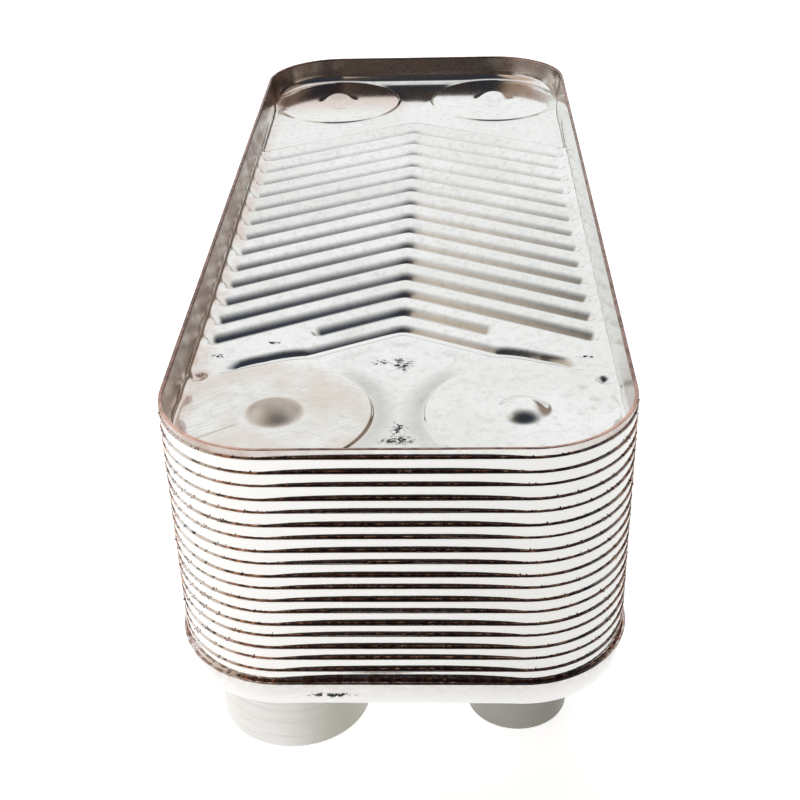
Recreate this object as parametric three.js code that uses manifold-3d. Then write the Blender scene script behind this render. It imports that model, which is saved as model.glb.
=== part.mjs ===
// Brazed plate heat exchanger: a stack of tray-shaped pressed plates between a thick port plate with
// four tube stubs and a closed cover plate, all joined by copper seams.
// Millimetres, +Z up. The origin is under the middle of the block, level with the stub ends.
// +X runs across the block and +Y along it.

import * as THREE from 'three';
import { mergeVertices } from 'three/addons/utils/BufferGeometryUtils.js';
import Module from 'manifold-3d';

const wasm = await Module();
wasm.setup();

// Plan of the plates
const PLATE_WIDTH = 76;
const PLATE_LENGTH = 193;
const CORNER_RADIUS = 18;
const CORNER_SIDES = 4;
const PORT_X = 20;
const PORT_Y = 77;

// Port plate: the thick end plate under the stack, standing on the stubs
const PORT_PLATE_BOTTOM_Z = 15.05;
const PORT_PLATE_HEIGHT = 5.85;
const PORT_PLATE_SHEET = 1.0;
const PORT_PLATE_OVERHANG = 0.5;
const PORT_PLATE_BEND = 1.4;

// Channel plates
const CHANNEL_PLATE_COUNT = 18;
const PLATE_PITCH = 2.43;
const CHANNEL_SHEET = 0.4;
const PRESS_DEPTH = 2.0;
const FIRST_CREST_Z = PORT_PLATE_BOTTOM_Z + 3.45;
const RIM_ABOVE_CREST = 4.95;
const RIM_STEP = 0.14;
const SKIRT_FLARE = 0.226;

// Cover plate: the closed plate on top, nested in the last channel plate
const COVER_SHEET = 0.6;
const COVER_NEST = 1.14;
const COVER_CREST_Z = FIRST_CREST_Z + (CHANNEL_PLATE_COUNT - 1) * PLATE_PITCH + COVER_NEST;
const COVER_RIM_Z = COVER_CREST_Z + 5.4;
const COVER_INSET = 0.17;
const COVER_FIELD_DROP = 0.5;
const COVER_DISC_FOOT = 16.2;
const COVER_DISC_TOP = 15.2;
const DOME_RADIUS = 4.5;
const DOME_CROWN_RADIUS = 2.5;
const DOME_HEIGHT = 1.5;

// Chevron corrugation, shared by all pressed plates
const CHEVRON_FIRST_CREST_Y = 59.5;
const CHEVRON_PITCH = 7.41;
const CHEVRON_VALLEYS = 14;
const CHEVRON_SLOPE = 0.545;

// Ports of the channel plates
const PORT_HOLE = 9.5;
const PORT_DISC_FOOT = 14.6;
const PORT_DISC_RADIUS = 15.9;
const PORT_SIDES = 12;

// Stubs: radii of the tube's outside and bore, and of the spigot that sits in the port plate
const HEATING_STUB = { outer: 13.4, bore: 11.4, spigot: 12.4 };
const WATER_STUB = { outer: 9.0, bore: 7.2, spigot: 8.2 };
const STUB_CHAMFER = 0.3;
const STUB_SIDES = 16;

// Copper seams
const SEAM_WIDTH = 0.36;
const SEAM_HEIGHT = 0.42;
const STUB_FILLET = 1.0;
const CLEARANCE = 0.05;

const TOLERANCE = 0.005;

const STEEL = { color: 0xd9d9d4, roughness: 0.22, metalness: 1.0 };
const COVER_STEEL = { color: 0xd2d0ca, roughness: 0.32, metalness: 1.0 };
const END_STEEL = { color: 0xe2e2dd, roughness: 0.3, metalness: 1.0 };
const STUB_STEEL = { color: 0xb9b8b0, roughness: 0.45, metalness: 1.0 };
const DARK_STUB_STEEL = { color: 0x8f8d82, roughness: 0.5, metalness: 1.0 };
const COPPER = { color: 0x6b3a26, roughness: 0.4, metalness: 1.0 };

const PORTS = [
  { name: 'heating_inlet', stub: HEATING_STUB, x: -PORT_X, y: -PORT_Y, look: STUB_STEEL },
  { name: 'heating_outlet', stub: HEATING_STUB, x: -PORT_X, y: PORT_Y, look: STUB_STEEL },
  { name: 'water_outlet', stub: WATER_STUB, x: PORT_X, y: -PORT_Y, look: DARK_STUB_STEEL },
  { name: 'water_inlet', stub: WATER_STUB, x: PORT_X, y: PORT_Y, look: DARK_STUB_STEEL },
];

const exchanger = new THREE.Group();

// ---------------------------------------------------------------------------------------------
// Solids

function toSolid(geometry) {
  geometry.deleteAttribute('normal');
  geometry.deleteAttribute('uv');
  const merged = mergeVertices(geometry, 1e-4);
  return new wasm.Manifold(new wasm.Mesh({
    numProp: 3,
    vertProperties: Float32Array.from(merged.attributes.position.array),
    triVerts: Uint32Array.from(merged.index.array),
  }));
}

function toGeometry(solid) {
  const mesh = solid.asOriginal().simplify(TOLERANCE).getMesh();
  const geometry = new THREE.BufferGeometry();
  geometry.setAttribute('position', new THREE.BufferAttribute(mesh.vertProperties, 3));
  geometry.setIndex(new THREE.BufferAttribute(mesh.triVerts, 1));
  geometry.computeVertexNormals();
  return geometry;
}

function addPiece(name, geometry, look) {
  const mesh = new THREE.Mesh(geometry, new THREE.MeshStandardMaterial(look));
  mesh.name = name;
  exchanger.add(mesh);
  return mesh;
}

// ---------------------------------------------------------------------------------------------
// Rounded rectangle shapes. Every ring is a circle of CORNER_RADIUS whose four quarters are moved
// apart to the plate's corners, so all walls share one set of corner directions.

const CORNER_X = PLATE_WIDTH / 2 - CORNER_RADIUS;
const CORNER_Y = PLATE_LENGTH / 2 - CORNER_RADIUS;
const HALF_CORNER_STEP = Math.PI / 4 / CORNER_SIDES;
const ROUND_OUT = 1 / Math.cos(HALF_CORNER_STEP);

// profile: [offset from the plate outline, z] points of a closed section
function roundedRing(profile) {
  const points = profile.map(([offset, z]) => new THREE.Vector2((CORNER_RADIUS + offset) * ROUND_OUT, z));
  points.push(points[0].clone());
  const ring = new THREE.LatheGeometry(points, 4 * CORNER_SIDES, HALF_CORNER_STEP);
  ring.rotateX(Math.PI / 2);
  const place = ring.attributes.position;
  for (let i = 0; i < place.count; i += 1) {
    place.setX(i, place.getX(i) + Math.sign(place.getX(i)) * CORNER_X);
    place.setY(i, place.getY(i) + Math.sign(place.getY(i)) * CORNER_Y);
  }
  return ring;
}

function outlinePoints(offset) {
  const points = [];
  const radius = (CORNER_RADIUS + offset) * ROUND_OUT;
  for (let i = 0; i < 4 * CORNER_SIDES; i += 1) {
    const angle = HALF_CORNER_STEP * (2 * i + 1);
    const x = radius * Math.cos(angle);
    const y = radius * Math.sin(angle);
    points.push(new THREE.Vector2(x + Math.sign(x) * CORNER_X, y + Math.sign(y) * CORNER_Y));
  }
  return points;
}

// A solid block with the plates' outline and flared sides; offset is the outline's at bottomZ
function flaredBlock(offset, flare, bottomZ, topZ) {
  const shape = new THREE.Shape(outlinePoints(offset));
  const block = new THREE.ExtrudeGeometry(shape, { depth: topZ - bottomZ, bevelEnabled: false });
  const place = block.attributes.position;
  for (let i = 0; i < place.count; i += 1) {
    const centreX = Math.sign(place.getX(i)) * CORNER_X;
    const centreY = Math.sign(place.getY(i)) * CORNER_Y;
    const growth = 1 + (flare * place.getZ(i)) / (CORNER_RADIUS + offset);
    place.setX(i, centreX + (place.getX(i) - centreX) * growth);
    place.setY(i, centreY + (place.getY(i) - centreY) * growth);
  }
  return block.translate(0, 0, bottomZ);
}

function cylinder(radiusBottom, radiusTop, bottomZ, topZ, x, y, sides) {
  const round = new THREE.CylinderGeometry(radiusTop, radiusBottom, topZ - bottomZ, sides);
  round.rotateX(Math.PI / 2);
  return round.translate(x, y, (bottomZ + topZ) / 2);
}

// ---------------------------------------------------------------------------------------------
// Pressed plates

// Everything above a corrugated surface that is flat at flatZ and has chevron valleys between
// crests at crestZ. The section is a zigzag along +Y, pulled out across X and then bent into
// chevrons that point to +Y.
function spaceAboveChevrons(crestZ, flatZ, topZ) {
  const farY = PLATE_LENGTH * 0.7;
  const section = new THREE.Shape();
  section.moveTo(farY, topZ);
  section.lineTo(farY, flatZ);
  if (flatZ < crestZ) {
    section.lineTo(CHEVRON_FIRST_CREST_Y + CHEVRON_PITCH / 4, flatZ);
  }
  section.lineTo(CHEVRON_FIRST_CREST_Y, crestZ);
  let crestY = CHEVRON_FIRST_CREST_Y;
  for (let valley = 0; valley < CHEVRON_VALLEYS; valley += 1) {
    section.lineTo(crestY - CHEVRON_PITCH / 2, crestZ - PRESS_DEPTH);
    crestY -= CHEVRON_PITCH;
    section.lineTo(crestY, crestZ);
  }
  if (flatZ < crestZ) {
    section.lineTo(crestY - CHEVRON_PITCH / 4, flatZ);
  }
  section.lineTo(-farY, flatZ);
  section.lineTo(-farY, topZ);
  const reach = PLATE_WIDTH * 0.6;
  const strip = new THREE.ExtrudeGeometry(section, { depth: 2 * reach, steps: 2, bevelEnabled: false });
  strip.translate(0, 0, -reach);
  const turn = new THREE.Matrix4().makeBasis(
    new THREE.Vector3(0, 1, 0),
    new THREE.Vector3(0, 0, 1),
    new THREE.Vector3(1, 0, 0),
  );
  strip.applyMatrix4(turn);
  const place = strip.attributes.position;
  for (let i = 0; i < place.count; i += 1) {
    place.setY(i, place.getY(i) - CHEVRON_SLOPE * Math.abs(place.getX(i)));
  }
  return toSolid(strip);
}

// The outer and inner bodies of a corrugated tray: the sheet is what lies between them. The skirt
// flares up to rimZ, where its outline would have rimOffset if it reached nominalRimZ.
function trayBodies({ crestZ, flatZ, sheet, nominalRimZ, rimZ, rimOffset }) {
  const wall = sheet * Math.hypot(1, SKIRT_FLARE);
  const bottomZ = crestZ - PRESS_DEPTH - 2 * sheet;
  const topZ = rimZ + 1;
  const footOffset = rimOffset - SKIRT_FLARE * (nominalRimZ - bottomZ);
  const block = toSolid(flaredBlock(footOffset, SKIRT_FLARE, bottomZ, rimZ));
  const hollow = toSolid(flaredBlock(footOffset - wall, SKIRT_FLARE, bottomZ, topZ));
  return {
    outer: block.intersect(spaceAboveChevrons(crestZ - sheet, flatZ - sheet, topZ + 1)),
    inner: hollow.intersect(spaceAboveChevrons(crestZ, flatZ, topZ + 1)),
  };
}

// The ports on the +X side are pressed down to the valleys, so that they meet the plate below
function channelPlateGeometry(rimDrop) {
  let { outer, inner } = trayBodies({
    crestZ: 0,
    flatZ: 0,
    sheet: CHANNEL_SHEET,
    nominalRimZ: RIM_ABOVE_CREST,
    rimZ: RIM_ABOVE_CREST - rimDrop,
    rimOffset: 0,
  });
  const lowZ = -PRESS_DEPTH;
  for (const y of [-PORT_Y, PORT_Y]) {
    outer = outer.add(toSolid(cylinder(
      PORT_DISC_FOOT, PORT_DISC_RADIUS, lowZ - CHANNEL_SHEET, -CHANNEL_SHEET / 2, PORT_X, y, PORT_SIDES,
    )));
    inner = inner.add(toSolid(cylinder(
      PORT_DISC_FOOT - CHANNEL_SHEET, PORT_DISC_RADIUS, lowZ, CHANNEL_SHEET, PORT_X, y, PORT_SIDES,
    )));
  }
  let plate = outer.subtract(inner);
  for (const { x, y } of PORTS) {
    plate = plate.subtract(toSolid(cylinder(PORT_HOLE, PORT_HOLE, lowZ - 1, 1, x, y, PORT_SIDES)));
  }
  return toGeometry(plate);
}

// Even plates point their chevrons to +Y; odd ones are the same pressing turned half round, with
// the skirt trimmed a little lower
function addChannelPlates() {
  const tall = channelPlateGeometry(0);
  const trimmed = channelPlateGeometry(RIM_STEP);
  for (let number = 1; number <= CHANNEL_PLATE_COUNT; number += 1) {
    const odd = number % 2 === 1;
    const name = `channel_plate_${String(number).padStart(2, '0')}`;
    const plate = addPiece(name, odd ? trimmed : tall, STEEL);
    plate.position.z = FIRST_CREST_Z + (number - 1) * PLATE_PITCH;
    plate.rotation.z = odd ? Math.PI : 0;
  }
}

// The cover has no ports: its four blank discs stand above the field, each with a pressed dome
function addCoverPlate() {
  const fieldZ = COVER_CREST_Z - COVER_FIELD_DROP;
  let { outer, inner } = trayBodies({
    crestZ: COVER_CREST_Z,
    flatZ: fieldZ,
    sheet: COVER_SHEET,
    nominalRimZ: COVER_RIM_Z,
    rimZ: COVER_RIM_Z,
    rimOffset: -COVER_INSET,
  });
  const discUnderZ = COVER_CREST_Z - COVER_SHEET;
  for (const { x, y } of PORTS) {
    inner = inner.subtract(toSolid(cylinder(
      COVER_DISC_FOOT, COVER_DISC_TOP, fieldZ - COVER_FIELD_DROP, COVER_CREST_Z, x, y, PORT_SIDES,
    )));
    inner = inner.subtract(toSolid(cylinder(
      DOME_RADIUS, DOME_CROWN_RADIUS, fieldZ, COVER_CREST_Z + DOME_HEIGHT, x, y, PORT_SIDES,
    )));
    outer = outer.subtract(toSolid(cylinder(
      COVER_DISC_FOOT, COVER_DISC_TOP, discUnderZ - 2 * COVER_FIELD_DROP, discUnderZ, x, y, PORT_SIDES,
    )));
  }
  addPiece('blind_cover_plate', toGeometry(outer.subtract(inner)), COVER_STEEL);
}

// ---------------------------------------------------------------------------------------------
// Port plate: a thick tray with a bend round its lower edge and four port holes. Its inner
// corner is square, so that the first channel plate sits right down on its floor.

function addPortPlate() {
  const wall = PORT_PLATE_SHEET * Math.hypot(1, SKIRT_FLARE);
  const rimZ = PORT_PLATE_BOTTOM_Z + PORT_PLATE_HEIGHT;
  const floorZ = PORT_PLATE_BOTTOM_Z + PORT_PLATE_SHEET;
  const bendZ = PORT_PLATE_BOTTOM_Z + PORT_PLATE_BEND;
  const bendOffset = PORT_PLATE_OVERHANG - SKIRT_FLARE * (rimZ - bendZ);
  const seatOffset = bendOffset - PORT_PLATE_BEND - 1;
  const section = [
    [PORT_PLATE_OVERHANG, rimZ],
    [PORT_PLATE_OVERHANG - wall, rimZ],
    [PORT_PLATE_OVERHANG - wall - SKIRT_FLARE * (rimZ - floorZ), floorZ],
    [seatOffset, floorZ],
    [seatOffset, PORT_PLATE_BOTTOM_Z],
  ];
  const bendSteps = 3;
  for (let step = bendSteps; step >= 0; step -= 1) {
    const angle = (Math.PI / 2) * (step / bendSteps);
    section.push([
      bendOffset - PORT_PLATE_BEND * (1 - Math.cos(angle)),
      bendZ - PORT_PLATE_BEND * Math.sin(angle),
    ]);
  }
  const floor = toSolid(flaredBlock(seatOffset + 0.5, 0, PORT_PLATE_BOTTOM_Z, floorZ));
  let plate = toSolid(roundedRing(section)).add(floor);
  for (const { stub, x, y } of PORTS) {
    const radius = stub.spigot + CLEARANCE;
    plate = plate.subtract(toSolid(cylinder(
      radius, radius, PORT_PLATE_BOTTOM_Z - 1, floorZ + 1, x, y, STUB_SIDES,
    )));
  }
  addPiece('port_cover_plate', toGeometry(plate), END_STEEL);
}

// ---------------------------------------------------------------------------------------------
// Plain tube stubs under the port plate, each held by a spigot in its port and a copper fillet

function turned(profile) {
  const points = profile.map(([radius, z]) => new THREE.Vector2(radius, z));
  points.push(points[0].clone());
  return new THREE.LatheGeometry(points, STUB_SIDES).rotateX(Math.PI / 2);
}

function addStubs() {
  const shoulderZ = PORT_PLATE_BOTTOM_Z - CLEARANCE;
  const topZ = PORT_PLATE_BOTTOM_Z + PORT_PLATE_SHEET - CLEARANCE;
  for (const { name, stub, x, y, look } of PORTS) {
    const body = toSolid(turned([
      [stub.bore + STUB_CHAMFER, 0],
      [stub.outer - STUB_CHAMFER, 0],
      [stub.outer, STUB_CHAMFER],
      [stub.outer, shoulderZ],
      [stub.spigot, shoulderZ],
      [stub.spigot, topZ],
      [stub.bore, topZ],
      [stub.bore, STUB_CHAMFER],
    ]));
    addPiece(`${name}_stub`, toGeometry(body), look).position.set(x, y, 0);
    const filletInner = stub.outer + CLEARANCE;
    const fillet = toSolid(turned([
      [filletInner, shoulderZ - STUB_FILLET],
      [filletInner + STUB_FILLET, shoulderZ],
      [filletInner, shoulderZ],
    ]));
    addPiece(`${name}_braze_fillet`, toGeometry(fillet), COPPER).position.set(x, y, 0);
  }
}

// ---------------------------------------------------------------------------------------------
// Copper seams: a thin fillet on each plate's rim, against the skirt of the plate inside it

function addSeam(number, ledgeZ, skirtOffset, width, height) {
  const inner = skirtOffset + CLEARANCE;
  const footZ = ledgeZ + CLEARANCE;
  const seam = toSolid(roundedRing([
    [inner, footZ],
    [inner + width, footZ],
    [inner + SKIRT_FLARE * height, footZ + height],
  ]));
  addPiece(`braze_seam_${String(number).padStart(2, '0')}`, toGeometry(seam), COPPER);
}

function addSeams() {
  const nominalRimZ = (number) => FIRST_CREST_Z + RIM_ABOVE_CREST + (number - 1) * PLATE_PITCH;
  const portRimZ = PORT_PLATE_BOTTOM_Z + PORT_PLATE_HEIGHT;
  const firstOffset = -SKIRT_FLARE * (nominalRimZ(1) - portRimZ);
  addSeam(1, portRimZ, firstOffset, 2 * SEAM_WIDTH, SEAM_HEIGHT);
  for (let number = 1; number < CHANNEL_PLATE_COUNT; number += 1) {
    const ledgeZ = nominalRimZ(number) - (number % 2 === 1 ? RIM_STEP : 0);
    const skirtOffset = -SKIRT_FLARE * (nominalRimZ(number + 1) - ledgeZ);
    addSeam(number + 1, ledgeZ, skirtOffset, SEAM_WIDTH, SEAM_HEIGHT);
  }
  const lastRimZ = nominalRimZ(CHANNEL_PLATE_COUNT);
  const coverOffset = -COVER_INSET - SKIRT_FLARE * (COVER_RIM_Z - lastRimZ);
  addSeam(CHANNEL_PLATE_COUNT + 1, lastRimZ, coverOffset, SEAM_WIDTH, SEAM_HEIGHT);
}

addPortPlate();
addStubs();
addChannelPlates();
addCoverPlate();
addSeams();

export default exchanger;
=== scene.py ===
"""Brazed plate heat exchanger: the visible model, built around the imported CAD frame.

Lengths are in millimetres in the frame's axes until a mesh is made; MM turns them into metres.
"""
import math
import random

import bmesh
import bpy
import numpy as np
from mathutils import Matrix, Vector
from mathutils.geometry import delaunay_2d_cdt


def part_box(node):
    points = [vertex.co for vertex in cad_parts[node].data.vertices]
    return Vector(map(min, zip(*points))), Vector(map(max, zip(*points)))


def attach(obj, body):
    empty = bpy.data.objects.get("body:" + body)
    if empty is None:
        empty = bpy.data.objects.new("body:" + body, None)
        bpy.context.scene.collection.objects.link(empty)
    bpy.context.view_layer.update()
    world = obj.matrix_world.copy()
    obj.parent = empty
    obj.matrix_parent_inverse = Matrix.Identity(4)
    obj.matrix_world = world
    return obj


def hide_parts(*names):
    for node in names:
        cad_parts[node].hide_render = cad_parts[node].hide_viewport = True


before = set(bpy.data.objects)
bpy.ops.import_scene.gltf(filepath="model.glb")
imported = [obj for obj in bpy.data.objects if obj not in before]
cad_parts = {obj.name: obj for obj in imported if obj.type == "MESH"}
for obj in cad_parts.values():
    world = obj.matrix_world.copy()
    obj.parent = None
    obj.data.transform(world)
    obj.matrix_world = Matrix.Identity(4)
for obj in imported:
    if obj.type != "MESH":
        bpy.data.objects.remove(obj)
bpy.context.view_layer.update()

MM = 0.001
BODY = "root"

# --- Measures taken from the frame


def node_box(name):
    low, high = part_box(name)
    return low / MM, high / MM


CHANNEL_PLATES = sorted(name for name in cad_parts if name.startswith("channel_plate_"))
SEAMS = sorted(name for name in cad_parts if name.startswith("braze_seam_"))
STUBS = ["heating_inlet", "heating_outlet", "water_outlet", "water_inlet"]
RIM_Z = [node_box(name)[1].z for name in CHANNEL_PLATES]
PLATE_PITCH = (RIM_Z[-1] - RIM_Z[1]) / (len(RIM_Z) - 2)
HALF_WIDTH, HALF_LENGTH, _ = node_box(CHANNEL_PLATES[-1])[1]
cover_high = node_box("blind_cover_plate")[1]
COVER_RIM_Z = cover_high.z
COVER_INSET = HALF_WIDTH - cover_high.x
port_plate_low, port_plate_high = node_box("port_cover_plate")
PORT_PLATE_BOTTOM_Z = port_plate_low.z
PORT_PLATE_RIM_Z = port_plate_high.z
PORT_PLATE_OVERHANG = port_plate_high.x - HALF_WIDTH


def stub_place(name):
    """Centre x, centre y and outer radius of a stub."""
    low, high = node_box(f"{name}_stub")
    return (low.x + high.x) / 2, (low.y + high.y) / 2, (high.x - low.x) / 2


PORT_X, PORT_Y = map(abs, stub_place("water_inlet")[:2])

# Pressed sheet
CORNER_RADIUS = 18
FLARE = 0.226
CHANNEL_SHEET = 0.4
COVER_SHEET = 0.6
PORT_PLATE_SHEET = 1.0
RIM_ABOVE_CREST = 4.95
COVER_RIM_ABOVE_CREST = 5.4
PRESS_DEPTH = 2.0
COVER_PRESS_DEPTH = 1.55
FLOOR_FILLET = 1.3

# Chevron corrugation: valleys along lines that fall away from x = 0 on both sides
CHEVRON_APEX_Y = 55.8
CHEVRON_PITCH = 7.41
CHEVRON_SLOPE = 0.545
CHEVRON_ROUNDING = 1.2
VALLEY_HALF_WIDTH = CHEVRON_PITCH / 2 * math.cos(math.atan(CHEVRON_SLOPE))
LONG_VALLEYS = 13
LONG_VALLEY_END_X = 33.6
SHORT_VALLEY_END_X = 15.4
LAST_VALLEY_END_X = 16.5
VALLEY_END_SHARPNESS = 1.6

# Cover plate's discs and sunk fields
FIELD_DROP = 0.75
FAR_FIELD_EDGE = 60.0
MIDDLE_FIELD_HALF_WIDTH = 18.5
CORNER_FIELD_Y = -70
DISC_TOP = 15.5
DISC_STEP_FOOT = 16.15
DISC_FOOT = 18.4
DOME_RADIUS = 5.3
DOME_HEIGHT = 1.8
DISCS = [(x, y) for x in (-PORT_X, PORT_X) for y in (-PORT_Y, PORT_Y)]

# Channel plates' ports
PORT_HOLE = 9.5
HOLE_STEPS = 40
PORT_CUP_FLOOR = 14.6
PORT_CUP_EDGE = 15.9

# Port plate and stubs
PORT_PLATE_BEND = 1.4
PORT_PLATE_FILLET = 1.0
PORT_HOLE_STEPS = 64
STUB_SHOULDER = 0.97
STUB_WALL = {"heating": 2.0, "water": 1.8}
STUB_STEPS = 96
TURNING_PITCH = 1.9
TURNING_DEPTH = 0.025

# How far the wavy rims stay inside the CAD boxes
SIDE_GAP = 0.03
RIM_GAP = 0.05
PORT_RIM_GAP = 0.04

# Waves are seeded by a channel plate's index, or by this for the cover
COVER_SEED = 50

# Copper on the rims: sizes along the sides, and how much smaller they are at the corners
SEAM_WIDTH = 0.17
SEAM_HEIGHT = 0.2
CORNER_LESS_WIDTH = 0.07
CORNER_LESS_HEIGHT = 0.1
BEAD_SIZES = (0.06, 0.13)
BEAD_REACH = (0.1, 0.36)


# --- Small numeric tools


def smoothstep(low, high, value):
    t = np.clip((value - low) / (high - low), 0, 1)
    return t * t * (3 - 2 * t)


def bell(distance, half_width):
    """1 on a line, falling to 0 at half_width as half a cosine wave."""
    return 0.5 + 0.5 * np.cos(np.pi * np.clip(distance / half_width, 0, 1))


PROFILE_STEPS = np.linspace(0, 1, 201)


def pressed_profile(full, ease_off):
    """Table of a pressed shape's depth, 1 at its middle and 0 at its edge. The wall is level in the
    middle, steepest at full, and flattens from ease_off to the edge."""
    falling = np.clip((1 - PROFILE_STEPS) / (1 - ease_off), 0, 1)
    slope = smoothstep(0, full, PROFILE_STEPS) * falling
    fallen = np.concatenate([[0], np.cumsum((slope[1:] + slope[:-1]) / 2)])
    return 1 - fallen / fallen[-1]


def read_profile(profile, distance, half_width):
    return np.interp(np.clip(distance / half_width, 0, 1), PROFILE_STEPS, profile)


VALLEY_PROFILE = pressed_profile(0.1, 0.1)
DOME_PROFILE = pressed_profile(0.7, 0.72)


def wave(along, seed, amplitude, lowest, highest, terms=9):
    """A closed, irregular wave round an outline; along runs from 0 to 1."""
    source = random.Random(seed)
    total = np.zeros_like(along)
    for _ in range(terms):
        cycles = source.randint(lowest, highest)
        phase = source.uniform(0, 2 * math.pi)
        total += source.uniform(0.4, 1) * np.sin(2 * math.pi * cycles * along + phase)
    return total * amplitude / math.sqrt(terms)


# --- The plates' outline


class Outline:
    """The plates' rounded rectangle, anticlockwise seen from above, with outward normals. middle
    rises from 0 at a side's ends to 1 halfway; corner is 1 in the middle of the corner arcs."""

    def __init__(self, corner_steps, straight_gap):
        base, normal, middle = [], [], []
        corner_x, corner_y = HALF_WIDTH - CORNER_RADIUS, HALF_LENGTH - CORNER_RADIUS
        signs = [(1, 1), (-1, 1), (-1, -1), (1, -1)]
        corners = [(corner_x * along_x, corner_y * along_y) for along_x, along_y in signs]
        for index, (x, y) in enumerate(corners):
            for step in range(corner_steps + 1):
                angle = math.pi / 2 * (index + step / corner_steps)
                direction = (math.cos(angle), math.sin(angle))
                base.append((x + CORNER_RADIUS * direction[0], y + CORNER_RADIUS * direction[1]))
                normal.append(direction)
                middle.append(0.0)
            next_x, next_y = corners[(index + 1) % 4]
            length = abs(next_x - x) + abs(next_y - y)
            parts = round(length / straight_gap)
            start_x, start_y = base[-1]
            for part in range(1, parts):
                share = part / parts
                base.append((start_x + (next_x - x) * share, start_y + (next_y - y) * share))
                normal.append(direction)
                middle.append(1 - (2 * share - 1) ** 4)
        self.base = np.array(base)
        self.normal = np.array(normal)
        self.middle = np.array(middle)
        self.corner = smoothstep(0.6, 0.95, np.abs(2 * self.normal[:, 0] * self.normal[:, 1]))
        steps = np.linalg.norm(np.roll(self.base, -1, axis=0) - self.base, axis=1)
        self.along = np.concatenate([[0], np.cumsum(steps)[:-1]]) / steps.sum()

    def flat(self, offset):
        """Plan points of the outline moved outwards by offset, one value or one per point."""
        moved = np.broadcast_to(np.asarray(offset, float), self.along.shape)
        return self.base + self.normal * moved[:, None]

    def ring(self, offset, z):
        height = np.broadcast_to(np.asarray(z, float), self.along.shape)
        return np.column_stack([self.flat(offset), height])


def inside_outline(points, offset):
    """How far plan points lie inside the outline moved by offset; negative is outside."""
    radius = CORNER_RADIUS + offset
    q = np.abs(points) - np.array([HALF_WIDTH - CORNER_RADIUS, HALF_LENGTH - CORNER_RADIUS])
    outside = np.linalg.norm(np.maximum(q, 0), axis=1)
    return radius - outside - np.minimum(q.max(axis=1), 0)


# --- Meshes


class Build:
    """Gathers one piece's vertices and faces, with a value that is 1 on cut rims."""

    def __init__(self):
        self.points = []
        self.rims = []
        self.faces = []
        self.count = 0

    def add(self, points, rim=0.0):
        start = self.count
        self.points.append(np.asarray(points, float))
        self.rims.append(np.broadcast_to(np.asarray(rim, float), len(points)))
        self.count += len(points)
        return np.arange(start, self.count)

    def strip(self, lower, upper):
        """Quads between two closed rings; they face outwards if the rings go up."""
        for a, b, c, d in zip(lower, np.roll(lower, -1), np.roll(upper, -1), upper):
            self.faces.append((a, b, c, d))

    def chain(self, rings):
        for lower, upper in zip(rings, rings[1:]):
            self.strip(lower, upper)

    def rise(self, outline, levels, closed=False):
        """Rings along the outline joined up; levels gives each one's offset, z and rim value."""
        rings = [self.add(outline.ring(offset, z), rim) for offset, z, rim in levels]
        self.chain(rings + rings[:1] if closed else rings)
        return rings

    def triangles(self, indices, triangles, upwards):
        for a, b, c in triangles:
            face = (indices[a], indices[b], indices[c])
            self.faces.append(face if upwards else face[::-1])

    def solid(self, template, place, scale):
        """A copy of a small closed solid, such as a bead."""
        points, faces = template
        indices = self.add(points * np.asarray(scale) + np.asarray(place))
        for face in faces:
            self.faces.append(tuple(indices[i] for i in face))

    def mesh(self, name, turned=False):
        points = np.concatenate(self.points) * MM
        if turned:
            points[:, :2] *= -1
        mesh = bpy.data.meshes.new(name)
        mesh.from_pydata(points.tolist(), [], [tuple(int(i) for i in face) for face in self.faces])
        rim = mesh.attributes.new("rim", "FLOAT", "POINT")
        rim.data.foreach_set("value", np.concatenate(self.rims).astype(np.float32))
        mesh.shade_smooth()
        return mesh


def triangulate(loops, inner_points, holes=()):
    """Plan triangles over the loops and the points between them. The first loop is the border and
    the others are the holes' edges; holes gives each hole's centre and radius."""
    points = np.concatenate([*loops, inner_points])
    edges = []
    start = 0
    for loop in loops:
        count = len(loop)
        edges += [(start + i, start + (i + 1) % count) for i in range(count)]
        start += count
    flat = [Vector(point) for point in points.tolist()]
    _, _, faces, origins, _, _ = delaunay_2d_cdt(flat, edges, [], 0, 1e-5)
    source = [origin[0] for origin in origins]
    triangles = np.array([[source[i] for i in face] for face in faces])
    centre = points[triangles].mean(axis=1)
    border = len(loops[0])
    keep = ~(triangles < border).all(axis=1) | (inside_outline(centre, -CORNER_RADIUS / 2) > 0)
    for x, y, radius in holes:
        keep &= np.hypot(centre[:, 0] - x, centre[:, 1] - y) > radius * 0.97
    return points, triangles[keep]


def circle(x, y, radius, count):
    angle = np.arange(count) * 2 * math.pi / count
    return np.column_stack([x + radius * np.cos(angle), y + radius * np.sin(angle)])


def chevron_lattice(gap_x, places, offset):
    """Plan points in rows that run along the chevrons, inside the outline moved by offset. places
    gives the rows within one pitch, from -0.5 to 0.5 about a valley's centre."""
    half_count = math.ceil(HALF_WIDTH / gap_x) + 3
    pitches = math.ceil((HALF_LENGTH * 2 + CHEVRON_SLOPE * HALF_WIDTH) / CHEVRON_PITCH)
    across = math.sin(2 * math.atan(CHEVRON_SLOPE)) / 2
    steps = np.arange(-half_count, half_count + 1) * gap_x
    rows = []
    for pitch in range(-pitches, pitches + 1):
        for place in places:
            x = steps + place * CHEVRON_PITCH * across * np.tanh(steps / 4)
            y = CHEVRON_APEX_Y + (pitch + place) * CHEVRON_PITCH - CHEVRON_SLOPE * rounded_abs(x)
            rows.append(np.column_stack([x, y]))
    points = np.concatenate(rows)
    return points[inside_outline(points, offset) > 0.3]


def even_places(count):
    return (np.arange(count) + 0.5) / count - 0.5


def rounded_abs(x):
    return np.sqrt(x * x + CHEVRON_ROUNDING**2)


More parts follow.
